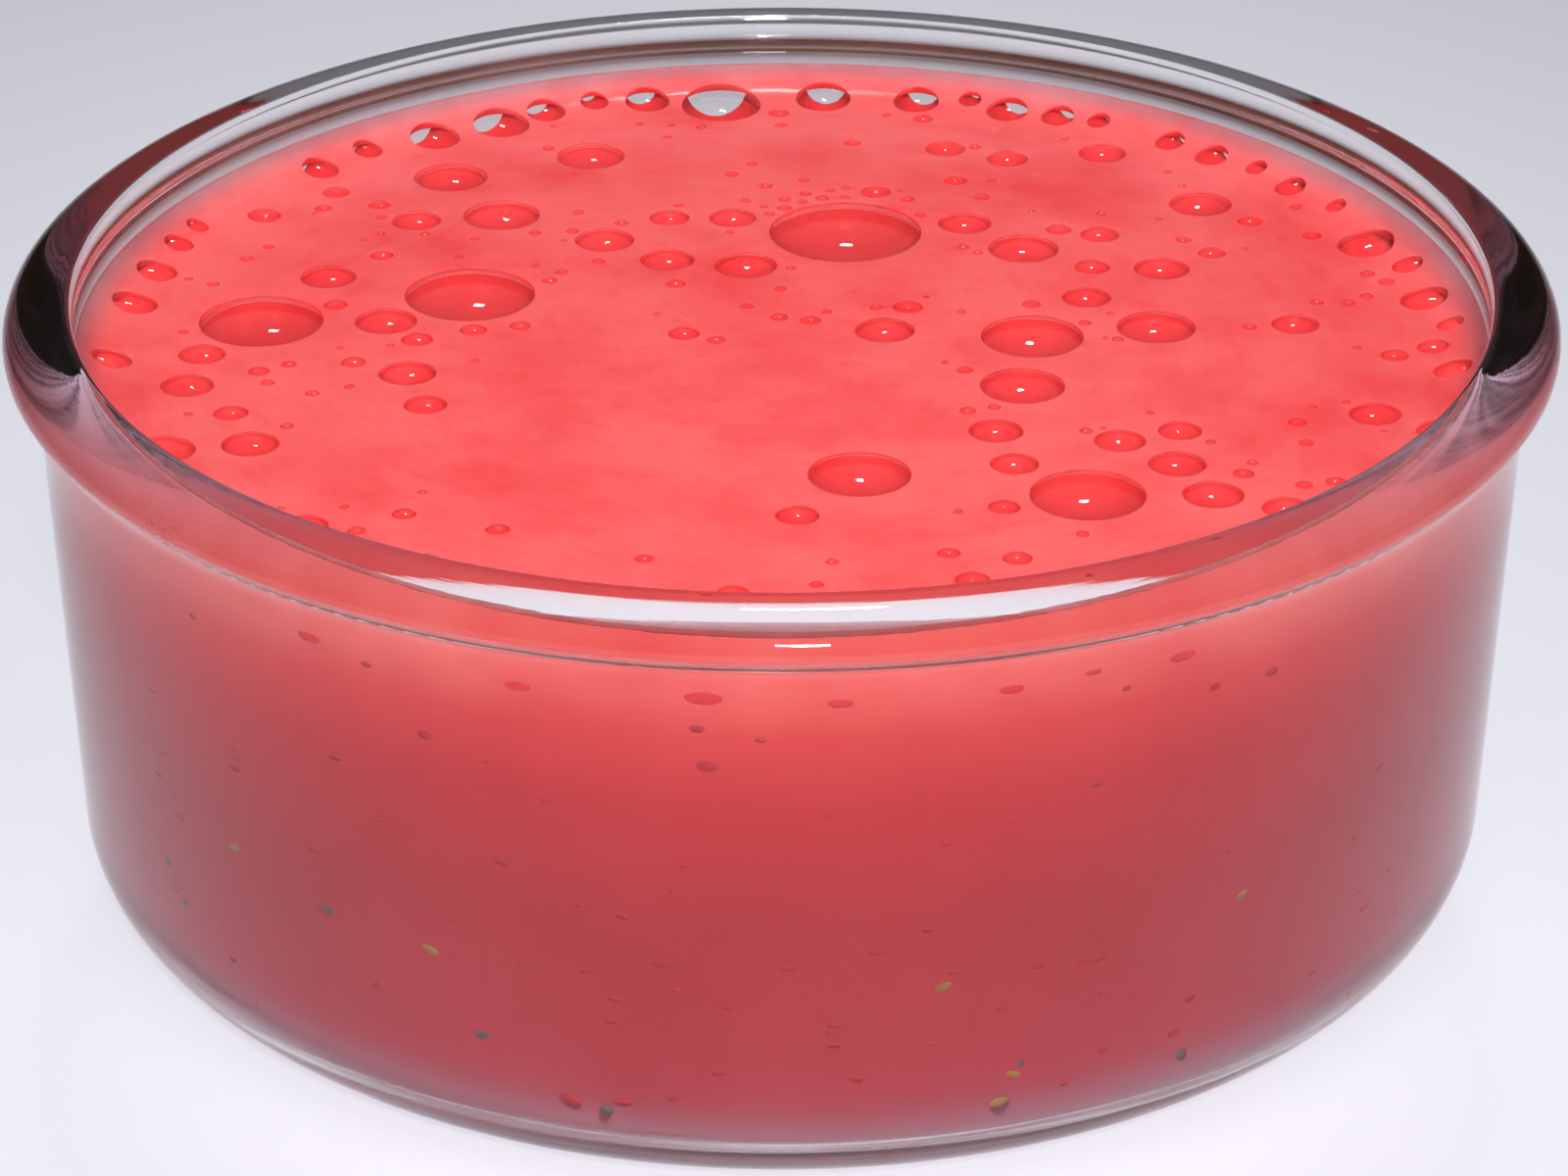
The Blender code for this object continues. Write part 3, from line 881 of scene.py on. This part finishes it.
seed_finish = bit_material("seed", (0.13, 0.06, 0.012), (0.25, 0.12, 0.03), 0.6, 0.0)
leaf_finish = bit_material("leaf", (0.04, 0.03, 0.03), (0.10, 0.06, 0.06), 0.7, 0.0)
skin_finish = bit_material("berry skin", (0.20, 0.004, 0.007), (0.34, 0.008, 0.012), 0.6, 1.0)
# the bubbles against the glass are flat bits in painted shade: the dark red that shows inside each air
# pocket
sunk_bubble_shade = bit_material("sunk bubble", (0.26, 0.010, 0.018), (0.42, 0.012, 0.02), 0.4, 1.0)
front_bubble_shade = bit_material("front bubble", (0.44, 0.010, 0.018), (0.60, 0.016, 0.024), 0.4, 1.0)
for name, table, slimness, finish in (
    ("seeds", SEEDS, 0.5, seed_finish),
    ("leaf_specks", LEAF_SPECKS, 0.6, leaf_finish),
    ("skin_flakes", SKIN_FLAKES + tuple(loose_flakes), 0.4, skin_finish),
    ("sunk_bubbles", SUNK_BUBBLES, 0.6, sunk_bubble_shade),
    ("front_bubbles", FRONT_BUBBLES, 0.42, front_bubble_shade),
):
    bit = ball_model(8, 6)
    bits = join_copies(name, bit, [against_glass(bit, slimness, *row) for row in table])
    bpy.data.objects.remove(bit)
    smooth(bits, 60)
    bits.data.materials.append(finish)
    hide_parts("smoothie")
    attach(bits, "root")

# The film on the glass
# Where the drink has sloshed up the inside of the wall, it leaves a thin cloudy film, which
# is thickest near the drink and on the left.

FILM_OFF_GLASS = 0.03 * MM
FILM_LOW = 37.6 * MM
FILM_THINS_FROM = 38.3 * MM
FILM_HIGH = 42.3 * MM
FILM_STEPS = 5
FILM_SIDES = 128


def open_sleeve(name, rings, sides):
    """Raises an open turned sleeve, whose faces point inwards."""
    sleeve = turned_solid(name, rings, sides)
    select_flat_ends(sleeve)
    bpy.ops.mesh.delete(type="FACE")
    bpy.ops.mesh.select_all(action="SELECT")
    bpy.ops.mesh.flip_normals()
    bpy.ops.object.mode_set(mode="OBJECT")
    return sleeve


def cloudy_film_material():
    """A cloudy trace of the drink on the glass, that thins out upwards."""
    material, tree = new_material("cloudy film")
    shader = add_node(
        tree,
        "ShaderNodeBsdfPrincipled",
        {"Base Color": (0.50, 0.27, 0.29, 1.0), "Roughness": 0.5, "Specular IOR Level": 0.2},
    )
    bowl_place = add_node(tree, "ShaderNodeGroup", node_tree=ROUND_THE_BOWL)
    thins = ranged(tree, bowl_place.outputs["Height"], FILM_THINS_FROM, FILM_HIGH, 1.0, 0.0)
    # the angle is 180 degrees on the left, and the cosine of it is -1 there
    side = add_node(tree, "ShaderNodeMath", operation="COSINE")
    tree.links.new(bowl_place.outputs["Angle"], side.inputs[0])
    left = ranged(tree, side.outputs["Value"], -1.0, 0.4, 0.6, 0.12)
    runs = ranged(tree, streaks(tree, 5.0, 260.0, 2.0), 0.3, 0.7, to_low=0.4)
    cover = product(tree, product(tree, thins, left), runs)
    output = add_node(tree, "ShaderNodeOutputMaterial")
    tree.links.new(cover, shader.inputs["Alpha"])
    tree.links.new(shader.outputs["BSDF"], output.inputs["Surface"])
    return material


film_rings = []
for step in range(FILM_STEPS + 1):
    z = FILM_LOW + (FILM_HIGH - FILM_LOW) * step / FILM_STEPS
    film_rings.append((inner_wall_radius(z) - FILM_OFF_GLASS, z))
wall_film = open_sleeve("cloudy_film", film_rings, FILM_SIDES)
smooth(wall_film, 60)
wall_film.data.materials.append(cloudy_film_material())
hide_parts("smoothie")
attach(wall_film, "root")

# The floor, the light and the camera
# A plain pale floor, and two small soft lamps with narrow beams: one above and behind the
# bowl for the glints, and one in front for most of the light. The room round them is dim.

FLOOR_SIZE = 3.0
FLOOR_DROP = 0.2 * MM
# (height of the direction, from 0 at the horizon to 1 straight up, and colour)
SKY_COLOURS = (
    (0.0, (0.05, 0.026, 0.014)),
    (0.42, (0.055, 0.04, 0.035)),
    (0.50, (0.22, 0.20, 0.20)),
    (1.0, (0.26, 0.27, 0.30)),
)
FRONT_GLOW = (1.0, 0.88, 0.88)

bpy.ops.object.select_all(action="DESELECT")
bpy.ops.mesh.primitive_plane_add(size=FLOOR_SIZE, location=(0, 0, -FLOOR_DROP))
floor = bpy.context.object
floor.name = "studio_floor"
floor_finish, floor_tree = new_material("pale floor")
floor_shader = add_node(
    floor_tree,
    "ShaderNodeBsdfPrincipled",
    {"Base Color": (0.66, 0.67, 0.73, 1.0), "Roughness": 0.8, "Specular IOR Level": 0.1},
)
floor_output = add_node(floor_tree, "ShaderNodeOutputMaterial")
floor_tree.links.new(floor_shader.outputs["BSDF"], floor_output.inputs["Surface"])
floor.data.materials.append(floor_finish)


def lamp(name, azimuth, elevation, distance, size, power, spread):
    """A soft lamp that points at the bowl, at an azimuth from the camera's side."""
    data = bpy.data.lights.new(name, "AREA")
    data.shape = "RECTANGLE"
    data.size, data.size_y = size
    data.energy = power
    data.spread = math.radians(spread)
    light = bpy.data.objects.new(name, data)
    bpy.context.scene.collection.objects.link(light)
    a, e = math.radians(azimuth), math.radians(elevation)
    light.location = (
        distance * math.sin(a) * math.cos(e),
        -distance * math.cos(a) * math.cos(e),
        distance * math.sin(e),
    )
    light.rotation_euler = light.location.to_track_quat("Z", "Y").to_euler()


lamp("key", 178, 57, 1.2, size=(0.10, 0.07), power=0.06, spread=40)
lamp("front", 3, 38, 1.3, size=(0.14, 0.10), power=0.58, spread=26)

world = bpy.data.worlds.new("studio")
bpy.context.scene.world = world
world.use_nodes = True
sky = world.node_tree
sky_place = add_node(sky, "ShaderNodeTexCoord")
sky_parts = add_node(sky, "ShaderNodeSeparateXYZ")
sky.links.new(sky_place.outputs["Generated"], sky_parts.inputs["Vector"])
sky_colour = colour_ramp(sky, sky_parts.outputs["Z"], SKY_COLOURS)
# low down, the room is lighter beside the bowl and in front of it than behind it
not_behind = ranged(sky, sky_parts.outputs["Y"], 0.2, 0.7, 1.0, 0.0)
low_down = ranged(sky, sky_parts.outputs["Z"], 0.0, 0.6, 0.16, 0.0)
lit_sky = mixed_colours(sky, product(sky, not_behind, low_down), sky_colour, FRONT_GLOW, blend="ADD")
sky.links.new(lit_sky, sky.nodes["Background"].inputs["Color"])

CAMERA_ELEVATION = 27.0
CAMERA_DISTANCE = 364.5 * MM
CAMERA_AIM = (0.16 * MM, 0, 19.0 * MM)
CAMERA_LENS = 121.05
CAMERA_SENSOR = 36.0

camera_data = bpy.data.cameras.new("camera")
camera_data.lens = CAMERA_LENS
camera_data.sensor_width = CAMERA_SENSOR
camera_data.clip_start = 0.01
camera = bpy.data.objects.new("camera", camera_data)
bpy.context.scene.collection.objects.link(camera)
camera_tilt = math.radians(CAMERA_ELEVATION)
camera.location = (
    CAMERA_AIM[0],
    -CAMERA_DISTANCE * math.cos(camera_tilt),
    CAMERA_AIM[2] + CAMERA_DISTANCE * math.sin(camera_tilt),
)
camera.rotation_euler = (math.pi / 2 - camera_tilt, 0, 0)
bpy.context.scene.camera = camera
bpy.context.scene.view_settings.view_transform = "Standard"
